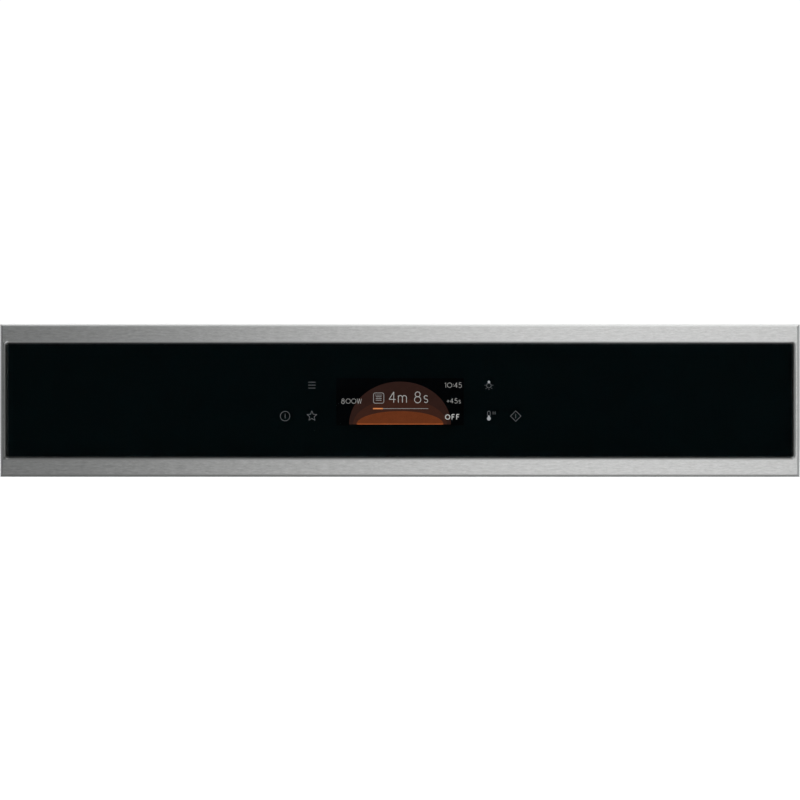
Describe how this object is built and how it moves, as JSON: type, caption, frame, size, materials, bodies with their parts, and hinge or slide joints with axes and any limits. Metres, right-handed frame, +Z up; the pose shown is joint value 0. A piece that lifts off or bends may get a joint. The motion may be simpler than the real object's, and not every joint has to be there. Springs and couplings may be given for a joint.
{
  "type": "combi oven control panel",
  "caption": "Wide flat control panel of a built-in combi oven: brushed steel frame, black glass front, colour display and touch keys in the middle, electronics and fixings behind.",
  "frame": {"origin": "middle of the panel's width and depth, at the level of its lower edge", "axes": "+X to the right as seen from the front, +Y to the rear, +Z up; the front face looks to -Y"},
  "size_m": [0.596, 0.048, 0.114],
  "materials": {
    "brushed_steel": "fine horizontal brushing, oiled look",
    "black_glass": "toughened, polished, ground edge",
    "black_print": "opaque black print",
    "black_foam": "closed cell foam, matt",
    "carrier_plastic": "moulded, fine grain",
    "zinc_sheet": "galvanised sheet",
    "zinc_screw": "zinc plated",
    "display_glass": "polished display cell",
    "white_plastic": "white diffuser and socket plastic",
    "board_green": "solder mask",
    "chip_black": "moulded chip package",
    "can_sleeve": "shrunk sleeve",
    "tin": "tinned metal",
    "brass": "stamped",
    "flat_cable": "flexible flat cable film"
  },
  "bodies": {
    "root": {"steel_fascia": "brushed_steel", "fascia_studs": "zinc_screw", "stud_nuts": "zinc_screw", "control_glass": "black_glass", "mask_film": "black_print", "glass_tape": "black_foam", "glass_carrier": "carrier_plastic", "display_gasket": "black_foam", "display_frame": "zinc_sheet", "lcd_cell": "display_glass", "backlight": "white_plastic", "display_back": "zinc_sheet", "display_bracket": "zinc_sheet", "display_bracket_screws": "zinc_screw", "display_flex": "flat_cable", "touch_board_left": "board_green", "touch_board_right": "board_green", "touch_pads": "black_foam", "key_leds": "white_plastic", "touch_board_screws": "zinc_screw", "touch_ribbons": "flat_cable", "main_board": "board_green", "processor_chip": "chip_black", "memory_chips": "chip_black", "capacitors": "can_sleeve", "buzzer": "chip_black", "ribbon_connectors": "white_plastic", "flex_connector": "white_plastic", "loom_header": "white_plastic", "loom_pins": "tin", "main_board_screws": "zinc_screw", "electronics_cover": "carrier_plastic", "cover_screws": "zinc_screw", "top_rail": "zinc_sheet", "end_bracket_left": "zinc_sheet", "end_bracket_right": "zinc_sheet", "air_guide": "zinc_sheet", "earth_tab": "brass", "earth_screw": "zinc_screw"}
  },
  "joints": []
}
